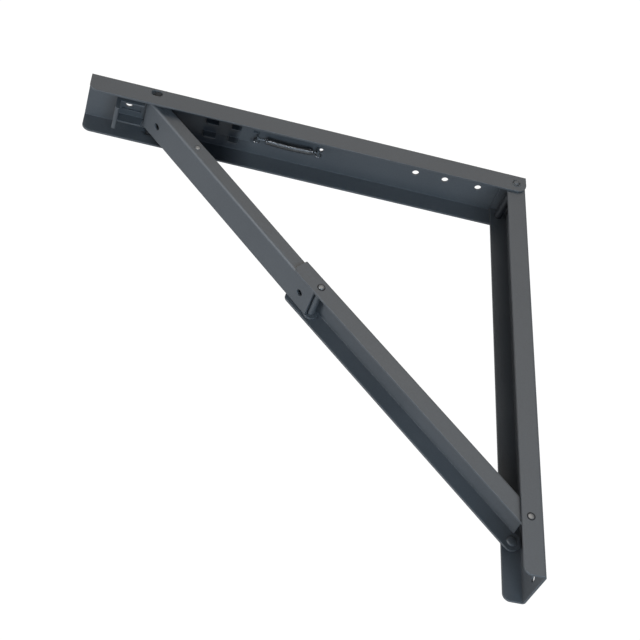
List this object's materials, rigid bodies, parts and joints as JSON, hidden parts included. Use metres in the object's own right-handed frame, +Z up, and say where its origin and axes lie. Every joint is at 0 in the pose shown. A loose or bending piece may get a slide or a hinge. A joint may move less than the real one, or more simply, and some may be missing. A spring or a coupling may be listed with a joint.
{
  "type": "drop leaf table bracket",
  "caption": "Folding support bracket for a table leaf: channel rails hinged at the wall, a hinged strut that locks just past straight, and a sprung release slider.",
  "frame": {"origin": "middle of the wall rail's back face, at the height of the corner hinge", "axes": "+Z up, +X into the wall, so the top rail runs along -X under the leaf, and Y is across the bracket"},
  "size_m": [0.318, 0.0426, 0.3242],
  "materials": {
    "dark_paint": "dark anthracite powder coat, satin",
    "black_steel": "blackened",
    "spring_wire": "drawn spring wire",
    "zinc_steel": "zinc plated"
  },
  "bodies": {
    "wall": {"wall_rail": "dark_paint", "hinge_pin": "dark_paint", "foot_rivet_near": "dark_paint", "foot_rivet_far": "dark_paint"},
    "lower": {"lower_strut": "dark_paint", "knee_pin": "dark_paint", "foot_washer_near": "zinc_steel", "foot_washer_far": "zinc_steel"},
    "upper": {"upper_strut": "dark_paint", "catch_pin": "dark_paint", "pivot_clip_near": "zinc_steel", "pivot_clip_far": "zinc_steel"},
    "top": {"top_rail": "dark_paint", "hinge_rivet_near": "dark_paint", "hinge_rivet_far": "dark_paint", "pivot_pin": "black_steel", "return_spring": "spring_wire"},
    "slider": {"release_slider": "dark_paint"}
  },
  "joints": [
    {"name": "foot_fold", "type": "hinge", "parent": "wall", "child": "lower", "pos_m": [-0.0085, 0, -0.2765], "axis": [0, 1, 0], "range_deg": [0, 43.78]},
    {"name": "knee_fold", "type": "hinge", "parent": "lower", "child": "upper", "pos_m": [-0.14581, 0, -0.13322], "axis": [0, -1, 0], "range_deg": [0, 178.39]},
    {"name": "pivot_fold", "type": "hinge", "parent": "upper", "child": "top", "pos_m": [-0.271, 0, 0.003], "axis": [0, 1, 0], "range_deg": [0, 46.05]},
    {"name": "slider_pull", "type": "slide", "parent": "top", "child": "slider", "axis": [-1, 0, 0], "range_m": [0, 0.004], "stiffness_N_per_m": 900, "springref_m": -0.008, "deforming": ["return_spring"]}
  ],
  "couplings": [
    {"joint": "knee_fold", "follows": "foot_fold", "ratio": 4.0743},
    {"joint": "pivot_fold", "follows": "foot_fold", "ratio": 1.0515}
  ]
}
